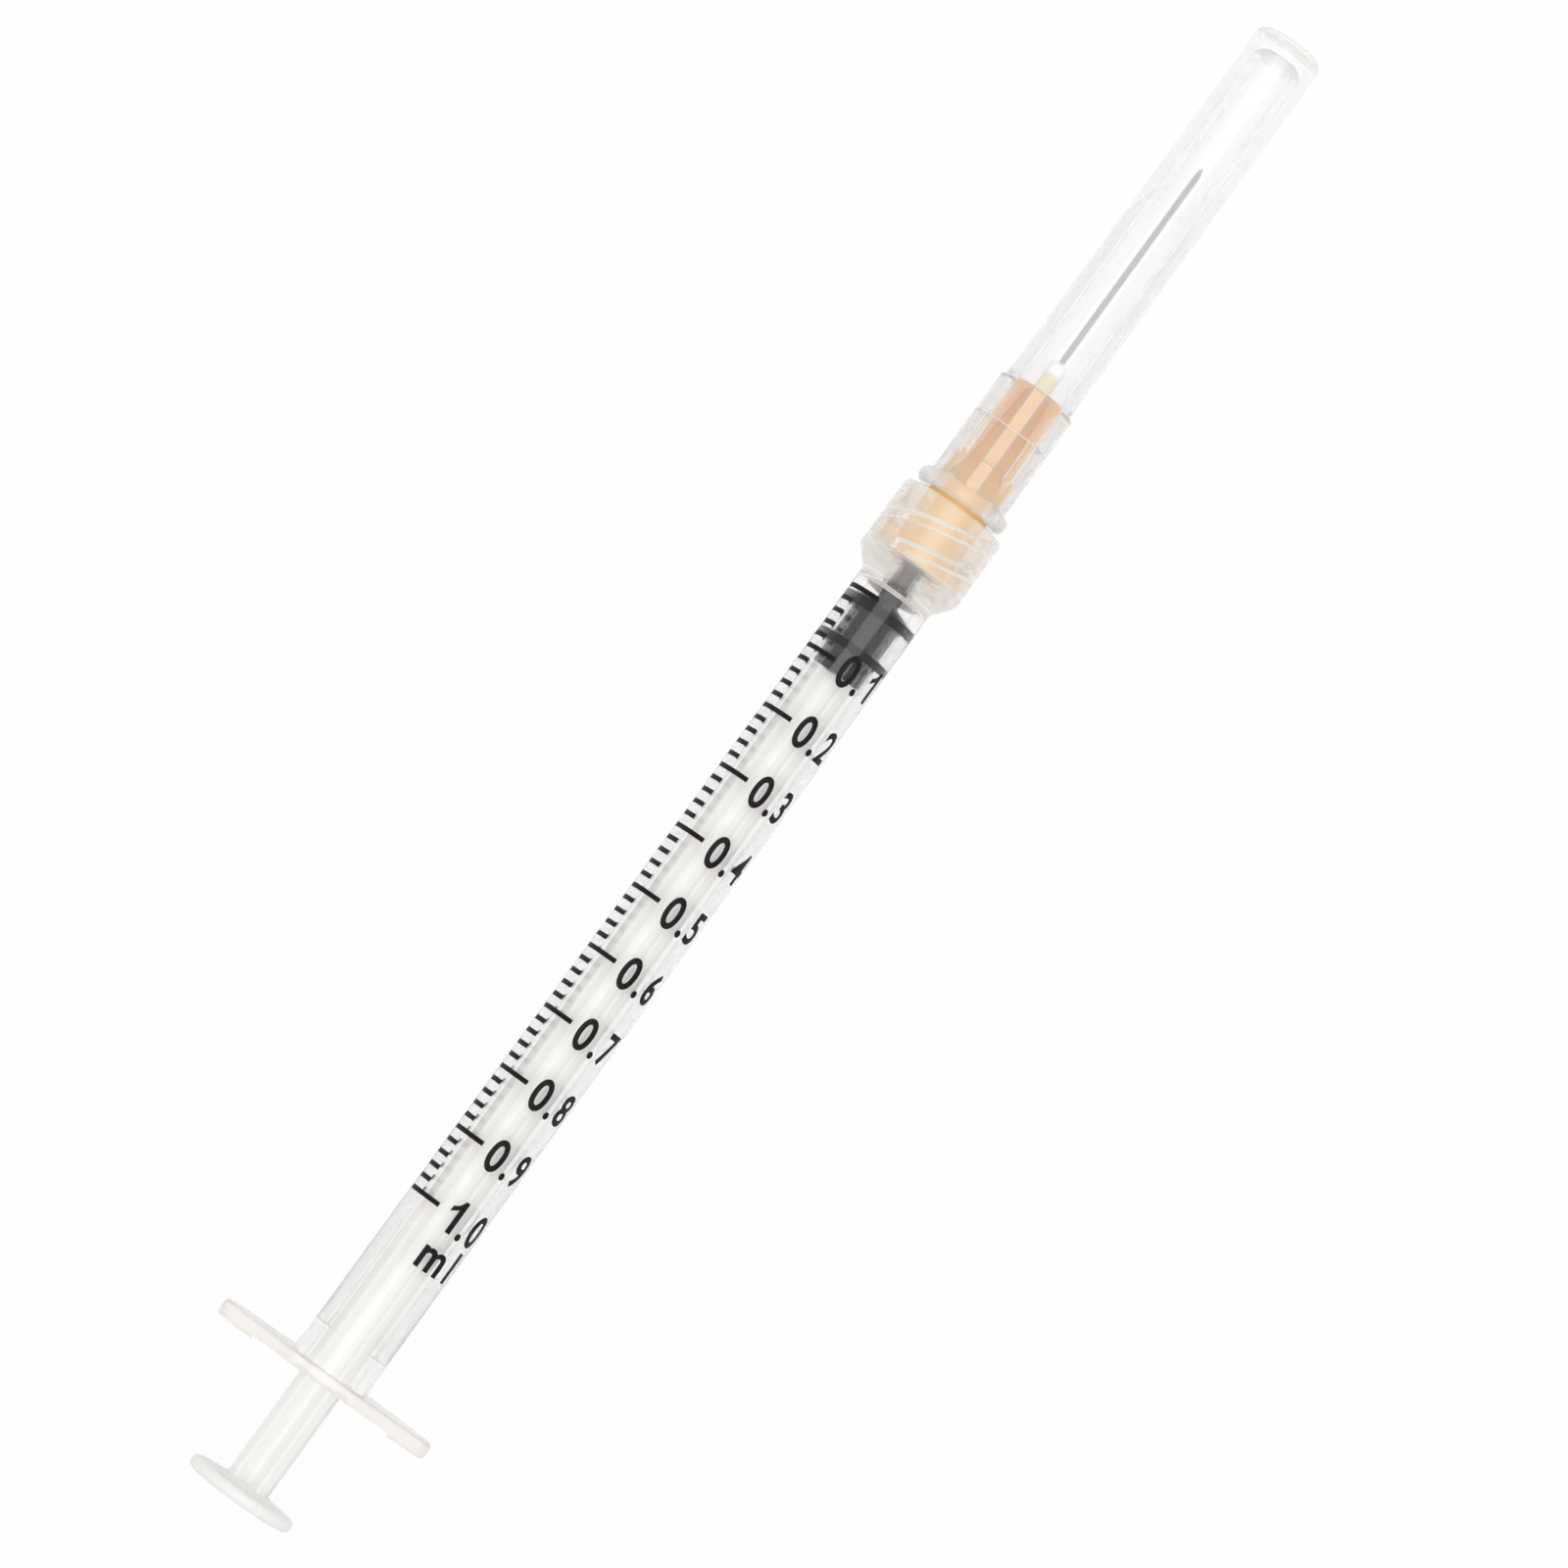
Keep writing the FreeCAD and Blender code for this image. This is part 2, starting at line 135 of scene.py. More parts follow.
# Thread of the collar, travel of the plunger for 1 ml, and the printed scale
THREAD_LEAD = 5.0
FULL_TRAVEL = 1000 / (math.pi * BORE ** 2)
INK_DEPTH = 0.004
INK_HEIGHT = 0.03
INK_END_ANGLE = 77

# Refraction of the clear plastics
PLASTIC_IOR = 1.49


# Places and shapes

def place(station, radius=0, angle=0):
    """Point at a station, a radius from the axis and an angle round it."""
    turn = math.radians(angle)
    return Vector((station, radius * math.sin(turn), radius * math.cos(turn)))


def turn_about_axis(angle):
    return Matrix.Rotation(math.radians(-angle), 4, "X")


def between(x, x_start, x_end, value_start, value_end):
    """Value that runs evenly from start to end."""
    return value_start + (x - x_start) / (x_end - x_start) * (value_end - value_start)


def tube_radius(station):
    return between(station, FLARE_END, TUBE_END, TUBE_REAR, TUBE_FRONT)


def taper_radius(station):
    """Radius of the six per cent taper of the male tip."""
    return between(station, MALE_TIP_END, MALE_TIP_END - 1, 1.965, 1.995)


def rounded(corners):
    """Points through corners of (u, v) or (u, v, rounding), with each rounding as an arc."""
    points = []
    for index, corner in enumerate(corners):
        here = Vector(corner[:2])
        if len(corner) == 2:
            points.append(here)
            continue
        rounding = corner[2]
        back = (Vector(corners[index - 1][:2]) - here).normalized()
        ahead = (Vector(corners[(index + 1) % len(corners)][:2]) - here).normalized()
        half_angle = back.angle(ahead) / 2
        start = here + back * (rounding / math.tan(half_angle))
        centre = here + (back + ahead).normalized() * (rounding / math.sin(half_angle))
        sweep = math.copysign(math.pi - 2 * half_angle, ahead.x * back.y - ahead.y * back.x)
        steps = max(2, math.ceil(math.degrees(abs(sweep)) / ARC_STEP))
        for step in range(steps + 1):
            points.append(centre + Matrix.Rotation(sweep * step / steps, 2) @ (start - centre))
    return points


# Modelling in edit mode, step by step

def select_only(*pieces):
    bpy.ops.object.select_all(action="DESELECT")
    for piece in pieces:
        piece.select_set(True)
    bpy.context.view_layer.objects.active = pieces[0]


def new_piece(name):
    """Empty piece, left open in edit mode."""
    bpy.ops.object.select_all(action="DESELECT")
    bpy.ops.mesh.primitive_plane_add(size=1)
    piece = bpy.context.object
    piece.name = name
    piece.data.name = name
    bpy.ops.object.mode_set(mode="EDIT")
    bpy.ops.mesh.select_mode(type="VERT")
    bpy.ops.mesh.select_all(action="SELECT")
    bpy.ops.mesh.delete(type="VERT")
    return piece


def draw_line(points):
    """Draws a line through the points by extruding the first one from each to the next."""
    bpy.ops.mesh.primitive_plane_add(size=1, location=points[0])
    bpy.ops.mesh.merge(type="CENTER")
    for here, there in zip(points, points[1:]):
        bpy.ops.mesh.extrude_region_move(TRANSFORM_OT_translate={"value": there - here})


def close_mesh():
    """Merges what lies together, turns the faces outwards and leaves edit mode."""
    bpy.ops.mesh.select_all(action="SELECT")
    bpy.ops.mesh.remove_doubles(threshold=MERGE)
    bpy.ops.mesh.normals_make_consistent(inside=False)
    shell = bmesh.from_edit_mesh(bpy.context.object.data)
    if shell.calc_volume(signed=True) < 0:
        bpy.ops.mesh.flip_normals()
    bpy.ops.object.mode_set(mode="OBJECT")


def spun(name, points):
    """Piece from a line of (station, radius) points, spun round the axis."""
    piece = new_piece(name)
    draw_line([place(station, radius) for station, radius in points])
    bpy.ops.mesh.select_all(action="SELECT")
    bpy.ops.mesh.spin(steps=SIDES, angle=2 * math.pi, center=(0, 0, 0), axis=(1, 0, 0))
    close_mesh()
    return piece


def turned(name, corners):
    """Solid turned piece, from corners of (station, radius) or (station, radius, rounding)."""
    return spun(name, rounded(corners))


def turned_wall(name, corners):
    """Hollow turned piece: the corners go all round the wall's section."""
    points = rounded(corners)
    return spun(name, points + points[:1])


def raised(name, outline, thickness):
    """Piece with a flat outline of points, raised by the vector thickness."""
    piece = new_piece(name)
    draw_line(outline)
    bpy.ops.mesh.select_all(action="SELECT")
    bpy.ops.mesh.edge_face_add()
    bpy.ops.mesh.extrude_region_move(TRANSFORM_OT_translate={"value": thickness})
    close_mesh()
    return piece


def prism(name, corners, rear, front):
    """Piece with one section all along, from corners of (y, z) or (y, z, rounding)."""
    outline = [Vector((rear, y, z)) for y, z in rounded(corners)]
    return raised(name, outline, (front - rear, 0, 0))


def turned_copy(piece, angle):
    """Copy of the piece with its own mesh, turned round the axis."""
    select_only(piece)
    bpy.ops.object.duplicate()
    copy = bpy.context.object
    copy.data.transform(turn_about_axis(angle))
    return copy


def combine(piece, tool, operation):
    """Joins the tool to the piece, or cuts it out of it; the tool is used up."""
    select_only(piece)
    bpy.ops.object.modifier_add(type="BOOLEAN")
    modifier = piece.modifiers[-1]
    modifier.operation = operation
    modifier.solver = "EXACT"
    modifier.object = tool
    bpy.ops.object.modifier_apply(modifier=modifier.name)
    bpy.data.objects.remove(tool)


def gather(name, pieces):
    """Makes several meshes one object."""
    select_only(*pieces)
    bpy.ops.object.join()
    pieces[0].name = name
    pieces[0].data.name = name
    return pieces[0]


def frost_and_paint_highlights(piece, is_frosted_and_highlit):
    """Marks the faces drawn matt and whiter: partly the mould's frosting, partly painted highlights where
    clear edges catch the light.

    A steep face is one that doesn't look straight at or away from the axis.
    """
    marks = piece.data.attributes.new("frosted", "FLOAT", "FACE")
    for face, mark in zip(piece.data.polygons, marks.data):
        across = Vector((0, face.center.y, face.center.z))
        steep = abs(face.normal.dot(across.normalized())) < 0.98
        mark.value = float(is_frosted_and_highlit(face.center.x, across.length, steep))


def dress(piece, body, node, material, sharp_angle=32):
    """Brings a finished piece into the scene, smooth, with its body and material, in place of its CAD node.
    """
    piece.data.transform(TO_SCENE)
    select_only(piece)
    bpy.ops.object.shade_smooth_by_angle(angle=math.radians(sharp_angle))
    piece.data.materials.clear()
    piece.data.materials.append(material)
    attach(piece, body)
    if node:
        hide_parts(node)


# Shader arithmetic

class Signal:
    """A value that varies over a surface. Arithmetic on it adds nodes."""

    def __init__(self, finish, socket):
        self.finish = finish
        self.socket = socket

    def combined(self, operation, first, second):
        return self.finish.node("Math", {"operation": operation}, {0: first, 1: second})

    def __add__(self, other):
        return self.combined("ADD", self, other)

    def __radd__(self, other):
        return self.combined("ADD", other, self)

    def __sub__(self, other):
        return self.combined("SUBTRACT", self, other)

    def __rsub__(self, other):
        return self.combined("SUBTRACT", other, self)

    def __mul__(self, other):
        return self.combined("MULTIPLY", self, other)

    def __rmul__(self, other):
        return self.combined("MULTIPLY", other, self)

    def __truediv__(self, other):
        return self.combined("DIVIDE", self, other)

    def __rtruediv__(self, other):
        return self.combined("DIVIDE", other, self)

    def __pow__(self, other):
        return self.combined("POWER", self, other)

    def __rpow__(self, other):
        return self.combined("POWER", other, self)


class Finish:
    """The nodes of one material or of the world."""

    def __init__(self, owner):
        owner.use_nodes = True
        self.owner = owner
        self.tree = owner.node_tree
        self.tree.nodes.clear()

    def node(self, kind, settings, inputs, output=0):
        """Adds a node: its settings first, then the values or links of its sockets."""
        made = self.tree.nodes.new("ShaderNode" + kind)
        for name, value in settings.items():
            if name == "stops":
                for element, (position, colour) in zip(made.color_ramp.elements, value):
                    element.position = position
                    element.color = colour
            else:
                setattr(made, name, value)
        for name, value in inputs.items():
            if isinstance(value, Signal):
                self.tree.links.new(value.socket, made.inputs[name])
            else:
                made.inputs[name].default_value = value
        return Signal(self, made.outputs[output]) if len(made.outputs) else None

    def seen_directly(self):
        """One where the eye sees a thing, also in or through gloss; nought where it only gives light."""
        path = self.node("LightPath", {}, {}).socket.node.outputs
        camera, glossy, clear, depth = (Signal(self, path[name]) for name in (
            "Is Camera Ray", "Is Glossy Ray", "Is Transmission Ray", "Diffuse Depth"))
        before_diffuse = depth.combined("LESS_THAN", depth, 0.5)
        return (camera + glossy + clear) * before_diffuse

    def position(self):
        """Object coordinates, moved so that they start at the axis."""
        coordinates = self.node("TexCoord", {}, {}, "Object")
        return self.node("Mapping", {}, {"Vector": coordinates, "Location": (0, 0, -AXIS_Z)})

    def axis_parts(self, position):
        """Station and radius, both in millimetres."""
        split = self.node("SeparateXYZ", {}, {"Vector": position})
        outputs = split.socket.node.outputs
        x, y, z = (Signal(self, outputs[name]) for name in "XYZ")
        station = (x - REAR) / MM
        radius = (y * y + z * z) ** 0.5 / MM
        return station, radius

    def frosted(self):
        """One on the marked faces: matt from the mould, and drawn whiter as a painted highlight."""
        return self.node("Attribute", {"attribute_name": "frosted"}, {}, "Fac")

    def ramp(self, signal, low, high, value_low=0.0, value_high=1.0):
        """Smooth step of a signal between two of its values."""
        return self.node("MapRange", {"interpolation_type": "SMOOTHSTEP"}, {
            "Value": signal, "From Min": low, "From Max": high, "To Min": value_low, "To Max": value_high})

    def grain(self, position, size, stretch=(1, 1, 1), detail=2.0):
        """Noise with specks of a size in millimetres, stretched along the axes."""
        scale = tuple(1 / (size * MM * factor) for factor in stretch)
        stretched = self.node("Mapping", {}, {"Vector": position, "Scale": scale})
        return self.node("TexNoise", {}, {"Vector": stretched, "Scale": 1.0, "Detail": detail})

    def blend(self, factor, first, second):
        """Colour between two colours."""
        return self.node("Mix", {"data_type": "RGBA"}, {0: factor, 6: first, 7: second}, 2)

    def bump(self, height, strength, depth):
        """Relief of a depth in millimetres."""
        return self.node("Bump", {}, {"Height": height, "Strength": strength, "Distance": depth * MM})

    def shader(self, inputs):
        return self.node("BsdfPrincipled", {}, inputs)

    def mix_shaders(self, factor, first, second):
        return self.node("MixShader", {}, {0: factor, 1: first, 2: second})

    def surface(self, shader):
        self.node("OutputMaterial", {}, {"Surface": shader})
        return self.owner


def colour(red, green, blue):
    """Colour for a shader from the 0 to 255 values that it shows on a screen."""
    linear = [((value / 255 + 0.055) / 1.055) ** 2.4 if value > 10 else value / 255 / 12.92
              for value in (red, green, blue)]
    return (*linear, 1.0)


# Finishes

def clear_barrel_plastic():
    """Clear polypropylene, milky where it is thick, at the flange and the collar.

    Light is only followed through a few reflections inside a piece. Part of it
    goes straight through instead, so that the thick collar doesn't turn dark.
    """
    finish = Finish(bpy.data.materials.new("clear barrel plastic"))
    position = finish.position()
    station, radius = finish.axis_parts(position)
    frosted = finish.frosted()
    streaks = finish.grain(position, 1.6, stretch=(40, 1, 1), detail=1.0)
    specks = finish.grain(position, 0.3, detail=2.0)
    cone = finish.ramp(station, TUBE_END - 0.5, TUBE_END + 0.6)
    threaded = finish.ramp(station, COLLAR_FLOOR, COLLAR_FLOOR + 0.9)
    flange = finish.ramp(station, FLANGE_FRONT + 0.15, FLANGE_FRONT - 0.15) * finish.ramp(radius, 2.6, 3.6)
    outside = finish.ramp(radius, 2.5, 3.0)
    floor = finish.ramp(radius, 2.0, 2.3) * finish.ramp(radius, 4.2, 4.0) * (
        finish.ramp(station, COLLAR_FLOOR - 0.2, COLLAR_FLOOR - 0.05)
        * finish.ramp(station, COLLAR_FLOOR + 0.45, COLLAR_FLOOR + 0.3))
    # Painted shade: the wall is drawn cool grey where it is seen edge-on, in place of the darker room that
    # the real walls show there.
    grazing = finish.ramp(finish.node("LayerWeight", {}, {"Blend": 0.5}, "Facing"), 0.45, 0.95)
    wall = finish.blend(grazing, colour(253, 252, 251), colour(236, 238, 243))
    # The marked faces turn fully milky and whiter: partly the mould's matt frosting, partly a painted
    # highlight along the thread's flanks and the step at the bore's end.
    haze = 0.008 + 0.012 * streaks + outside * (0.24 * cone - 0.07 * threaded) + 0.62 * flange + frosted
    matt = outside * (0.22 * cone - 0.1 * threaded) + 0.3 * floor + 0.2 * flange
    clear = finish.shader({
        "Base Color": finish.blend(cone, wall, colour(253, 249, 245)), "IOR": PLASTIC_IOR,
        "Roughness": 0.02 + 0.02 * streaks + matt,
        "Transmission Weight": 1.0, "Alpha": 0.88 - 0.46 * cone})
    milky = finish.shader({
        "Base Color": finish.blend(frosted, colour(253, 250, 246), colour(255, 254, 252)),
        "Roughness": 0.35, "IOR": PLASTIC_IOR, "Normal": finish.bump(specks, 0.2, 0.004)})
    return finish.surface(finish.mix_shaders(haze, clear, milky))


def clear_cap_plastic():
    """Clear, slightly cool plastic of the cap, cloudier than the barrel.

    As in the barrel, part of the light goes straight through.
    """
    finish = Finish(bpy.data.materials.new("clear cap plastic"))
    position = finish.position()
    station, radius = finish.axis_parts(position)
    frosted = finish.frosted()
    streaks = finish.grain(position, 1.8, stretch=(40, 1, 1), detail=1.0)
    specks = finish.grain(position, 0.3, detail=2.0)
    rim = finish.ramp(station, CAP_RIM + 1.7, CAP_RIM + 1.2) * finish.ramp(radius, 3.1, 3.5)
    end = finish.ramp(station, CAP_END - 1.3, CAP_END - 0.5)
    # The marked faces turn fully milky and whiter: partly the mould's matt frosting, partly painted
    # highlights on the ribs' flanks, the well's bottom and the tip's rounding.
    haze = 0.08 + 0.06 * streaks + 0.14 * rim + 0.2 * end + frosted
    clear = finish.shader({
        "Base Color": colour(252, 252, 253), "IOR": PLASTIC_IOR,
        "Roughness": 0.03 + 0.02 * streaks + 0.1 * rim,
        "Transmission Weight": 1.0, "Alpha": 0.85 - 0.3 * rim})
    milky = finish.shader({
        "Base Color": finish.blend(frosted, colour(247, 246, 247), colour(255, 253, 251)),
        "Roughness": 0.35, "IOR": PLASTIC_IOR, "Normal": finish.bump(specks, 0.2, 0.004)})
    return finish.surface(finish.mix_shaders(haze, clear, milky))


def printed_ink():
    """Black ink, slightly uneven in gloss and thickness."""
    finish = Finish(bpy.data.materials.new("printed ink"))
    position = finish.position()
    patches = finish.grain(position, 0.25)
    pores = finish.grain(position, 0.05, detail=1.0)
    shade = finish.blend(finish.ramp(patches, 0.35, 0.7), colour(22, 18, 21), colour(38, 33, 36))
    return finish.surface(finish.shader({
        "Base Color": shade, "Roughness": finish.ramp(patches, 0.3, 0.7, 0.4, 0.6),
        "Specular IOR Level": 0.15, "Normal": finish.bump(pores, 0.3, 0.004)}))


def white_rod_plastic():
    """White moulded plastic, satin, with faint flow marks along the ribs."""
    finish = Finish(bpy.data.materials.new("white rod plastic"))
    position = finish.position()
    flow = finish.grain(position, 0.8, stretch=(14, 1, 1), detail=3.0)
    texture = finish.grain(position, 0.08, detail=2.0)
    shade = finish.blend(flow, colour(243, 243, 241), colour(248, 248, 246))
    return finish.surface(finish.shader({
        "Base Color": shade, "Roughness": finish.ramp(flow, 0.3, 0.7, 0.4, 0.5), "IOR": 1.5,
        "Subsurface Weight": 0.35, "Subsurface Radius": (1.0, 0.95, 0.85), "Subsurface Scale": 0.6 * MM,
        "Normal": finish.bump(texture, 0.25, 0.006)}))


def black_rubber():
    """Black rubber with a thin film of oil."""
    finish = Finish(bpy.data.materials.new("black rubber"))
    position = finish.position()
    film = finish.grain(position, 0.7, detail=3.0)
    pores = finish.grain(position, 0.06, detail=2.0)
    shade = finish.blend(film, colour(12, 12, 16), colour(22, 22, 27))
    return finish.surface(finish.shader({
        "Base Color": shade, "Roughness": finish.ramp(film, 0.3, 0.75, 0.22, 0.36), "Specular IOR Level": 0.2,
        "Normal": finish.bump(pores, 0.3, 0.006)}))


def amber_hub_plastic():
    """Translucent amber plastic, with painted shade deepening it in the flutes and painted highlights paling
    the fins' edges.
    """
    finish = Finish(bpy.data.materials.new("amber hub plastic"))
    position = finish.position()
    station, radius = finish.axis_parts(position)
    flow = finish.grain(position, 0.5, stretch=(5, 1, 1), detail=3.0)
    # Painted shade: the amber is drawn deeper towards the axis, darkening the flutes between the fins.
    depth = finish.ramp(radius + 0.25 * flow, 1.1, 2.5)
    amber_with_painted_flute_shade = finish.blend(depth, colour(234, 166, 88), colour(254, 206, 126))
    nose = finish.ramp(station, FINS_END - 0.1, FINS_END + 0.4)
    slim = finish.blend(nose, amber_with_painted_flute_shade, colour(255, 244, 202))
    # Painted highlight: the marked fin edges and front steps are drawn pale.
    shade = finish.blend(finish.frosted(), slim, colour(255, 244, 222))
    relief = finish.bump(flow, 0.3, 0.01)
    clear = finish.shader({
        "Base Color": shade, "Roughness": 0.12, "IOR": PLASTIC_IOR,
        "Transmission Weight": 1.0, "Normal": relief})
    cloudy = finish.shader({
        "Base Color": shade, "Roughness": 0.3, "IOR": PLASTIC_IOR, "Subsurface Weight": 0.3,
        "Subsurface Radius": (1.0, 0.7, 0.35), "Subsurface Scale": 0.6 * MM, "Normal": relief})
    return finish.surface(finish.mix_shaders(0.68, clear, cloudy))


def ground_steel():
    """Drawn stainless steel with fine lines along it."""
    finish = Finish(bpy.data.materials.new("ground steel"))
    position = finish.position()
    lines = finish.grain(position, 0.03, stretch=(80, 1, 1), detail=2.0)
    return finish.surface(finish.shader({
        "Base Color": finish.blend(lines, colour(150, 148, 148), colour(184, 182, 181)), "Metallic": 1.0,
        "Roughness": finish.ramp(lines, 0.3, 0.7, 0.3, 0.42), "Normal": finish.bump(lines, 0.2, 0.002)}))


def cured_adhesive():
    """White cured glue with a glossy skin."""
    finish = Finish(bpy.data.materials.new("cured adhesive"))
    position = finish.position()
    cloud = finish.grain(position, 0.4, detail=2.0)
    return finish.surface(finish.shader({
        "Base Color": finish.blend(cloud, colour(250, 248, 244), colour(254, 253, 250)),
        "Roughness": finish.ramp(cloud, 0.3, 0.7, 0.12, 0.22), "Subsurface Weight": 0.3,
        "Subsurface Radius": (1.0, 0.9, 0.8), "Subsurface Scale": 0.3 * MM,
        "Normal": finish.bump(cloud, 0.2, 0.01)}))


# Pieces

def soften_rims(piece, is_rimmed, width):
    """Rounds the edges round the faces that is_rimmed picks."""
    select_only(piece)
    bpy.ops.object.mode_set(mode="EDIT")
    bpy.ops.mesh.select_mode(type="FACE")
    bpy.ops.mesh.select_all(action="DESELECT")
    bpy.ops.object.mode_set(mode="OBJECT")
    for face in piece.data.polygons:
        face.select = is_rimmed(face)
    bpy.ops.object.mode_set(mode="EDIT")
    bpy.ops.mesh.select_mode(type="EDGE")
    bpy.ops.mesh.region_to_loop()
    bpy.ops.mesh.bevel(offset=width, segments=5)
    bpy.ops.mesh.select_mode(type="VERT")
    close_mesh()


def finger_flange():
    """Two wings with thicker ends, rounded at their rims."""
    rear_of_pads = FLANGE_REAR - 0.25
    flange = prism("flange", [
        (2.7, 4.7, 2.5), (9.75, 2.4, 2.2), (9.75, -2.4, 2.2), (2.7, -4.7, 2.5),
        (-2.7, -4.7, 2.5), (-9.75, -2.4, 2.2), (-9.75, 2.4, 2.2), (-2.7, 4.7, 2.5),
    ], rear_of_pads, FLANGE_FRONT)
    soften_rims(flange, lambda face: abs(face.normal.x) > 0.9, 0.3)
    recess = prism("recess", [(-6.4, -6, 0.4), (-6.4, 6, 0.4), (6.4, 6, 0.4), (6.4, -6, 0.4)],
                   rear_of_pads - 1, FLANGE_REAR)
    combine(flange, recess, "DIFFERENCE")
    return flange


def thread_ridge():
    """One of the two starts of the right-handed thread inside the collar."""
    first_angle = -108
    turned_by = 324
    station = 92.4 - THREAD_LEAD * first_angle / 360
    ridge = new_piece("ridge")
    draw_line([place(station + along, radius) for along, radius in (
        (-0.57, THREAD_ROOT + 0.2), (-0.54, THREAD_ROOT - 0.02), (-0.26, THREAD_CREST),
        (0.26, THREAD_CREST), (0.54, THREAD_ROOT - 0.02), (0.57, THREAD_ROOT + 0.2))])
    bpy.ops.mesh.select_all(action="SELECT")
    bpy.ops.mesh.edge_face_add()
    bpy.ops.mesh.delete(type="ONLY_FACE")
    bpy.ops.object.mode_set(mode="OBJECT")
    bpy.ops.object.modifier_add(type="SCREW")
    screw = ridge.modifiers[-1]
    screw.axis = "X"
    screw.angle = math.radians(-turned_by)
    screw.screw_offset = -THREAD_LEAD * turned_by / 360
    screw.steps = round(SIDES * turned_by / 360)
    screw.render_steps = screw.steps
    bpy.ops.object.modifier_apply(modifier=screw.name)
    bpy.ops.object.mode_set(mode="EDIT")
    bpy.ops.mesh.select_all(action="DESELECT")
    bpy.ops.mesh.select_non_manifold()
    bpy.ops.mesh.fill_holes(sides=0)
    close_mesh()
    ridge.data.transform(turn_about_axis(first_angle))
    return ridge


def barrel():
    """Flange, tube, cone, locking collar and male tip, moulded in one."""
    body = turned("barrel_moulding", [
        (FLANGE_REAR, 0), (FLANGE_REAR, FLARE), (FLANGE_FRONT, FLARE),
        (FLARE_END, TUBE_REAR, 6.0), (TUBE_END, TUBE_FRONT, 0.8), (COLLAR_START, COLLAR, 0.8),
        (COLLAR_END, COLLAR, 0.42), (COLLAR_END, THREAD_ROOT, 0.1),
        (COLLAR_FLOOR, THREAD_ROOT, 0.3), (COLLAR_FLOOR, taper_radius(COLLAR_FLOOR), 0.2),
        (MALE_TIP_END, taper_radius(MALE_TIP_END), 0.2), (MALE_TIP_END, 0),
    ])
    combine(body, finger_flange(), "UNION")
    bore = turned("bore", [
        (FLANGE_REAR - 1, 0), (FLANGE_REAR - 1, BORE + 0.3), (FLANGE_REAR, BORE + 0.3),
        (FLANGE_REAR + 0.3, BORE, 0.3), (RETAINER, BORE), (RETAINER + 0.2, BORE - 0.08, 0.2),
        (RETAINER + 0.65, BORE - 0.08, 0.2), (RETAINER + 0.85, BORE), (BORE_END, BORE),
        (BORE_END + 0.5, TIP_BORE), (MALE_TIP_END + 1, TIP_BORE), (MALE_TIP_END + 1, 0),
    ])
    combine(body, bore, "DIFFERENCE")
    ridge = thread_ridge()
    opposite = turned_copy(ridge, 180)
    combine(body, ridge, "UNION")
    combine(body, opposite, "UNION")
    # The thread's flanks and the step at the bore's end: matt from the mould, and drawn whiter as a painted
    # highlight.
    frost_and_paint_highlights(body, lambda station, radius, steep: (
        COLLAR_FLOOR + 0.4 < station < COLLAR_END and THREAD_CREST + 0.03 < radius < THREAD_ROOT - 0.03
        or steep and BORE_END < station < BORE_END + 0.5 and TIP_BORE < radius < BORE))
    return body


def ink_stroke(station, start_angle):
    """Band of ink round part of the tube, added to the mesh being edited."""
    rear = station - 0.2
    front = station + 0.2
    section = [(rear, -INK_DEPTH), (front, -INK_DEPTH), (front, INK_HEIGHT), (rear, INK_HEIGHT),
               (rear, -INK_DEPTH)]
    draw_line([place(x, tube_radius(x) + height, start_angle) for x, height in section])
    bpy.ops.mesh.select_linked()
    sweep = INK_END_ANGLE - start_angle
    bpy.ops.mesh.spin(steps=round(sweep / 2.5), angle=math.radians(sweep), center=(0, 0, 0), axis=(1, 0, 0))


def scale_strokes():
    """Fifty divisions of 0.02 ml from the stopper's front, every fifth one long."""
    long_start, short_start = 12.4, 46.0
    piece = new_piece("scale_strokes")
    for division in range(51):
        bpy.ops.mesh.select_all(action="DESELECT")
        ink_stroke(STOPPER_FRONT - division * FULL_TRAVEL / 50, short_start if division % 5 else long_start)
    bpy.ops.mesh.select_all(action="SELECT")
    bpy.ops.mesh.remove_doubles(threshold=MERGE)
    bpy.ops.mesh.select_all(action="DESELECT")
    bpy.ops.mesh.select_non_manifold()
    bpy.ops.mesh.fill_holes(sides=4)
    close_mesh()
    return piece


def flat_glyph(character, baseline, start, em_width, em_height):
    """Character laid out flat: its height along X and its reading direction along -Y."""
    bpy.ops.object.select_all(action="DESELECT")
    bpy.ops.object.text_add()
    text = bpy.context.object
    text.data.body = character
    text.data.resolution_u = 6
    text.data.offset = 0.022
    bpy.ops.object.convert(target="MESH")
    glyph = bpy.context.object
    low = min(vertex.co.x for vertex in glyph.data.vertices)
    for vertex in glyph.data.vertices:
        right, up = vertex.co.x - low, vertex.co.y
        vertex.co = Vector((baseline + up * em_height, start - right * em_width, 0))
    return glyph


def flat_one(baseline, start, em_width, em_height):
    """Figure 1 with a flag, laid out as the others are."""
    outline = rounded([
        (0.24, 0), (0.38, 0), (0.38, 0.74), (0.27, 0.74), (0.2, 0.61, 0.2), (0.04, 0.53),
        (0.04, 0.41), (0.24, 0.52)])
    figure = new_piece("one")
    draw_line([Vector((baseline + up * em_height, start - right * em_width, 0)) for right, up in outline])
    bpy.ops.mesh.select_all(action="SELECT")
    bpy.ops.mesh.edge_face_add()
    bpy.ops.mesh.quads_convert_to_tris()
    bpy.ops.object.mode_set(mode="OBJECT")
    return figure


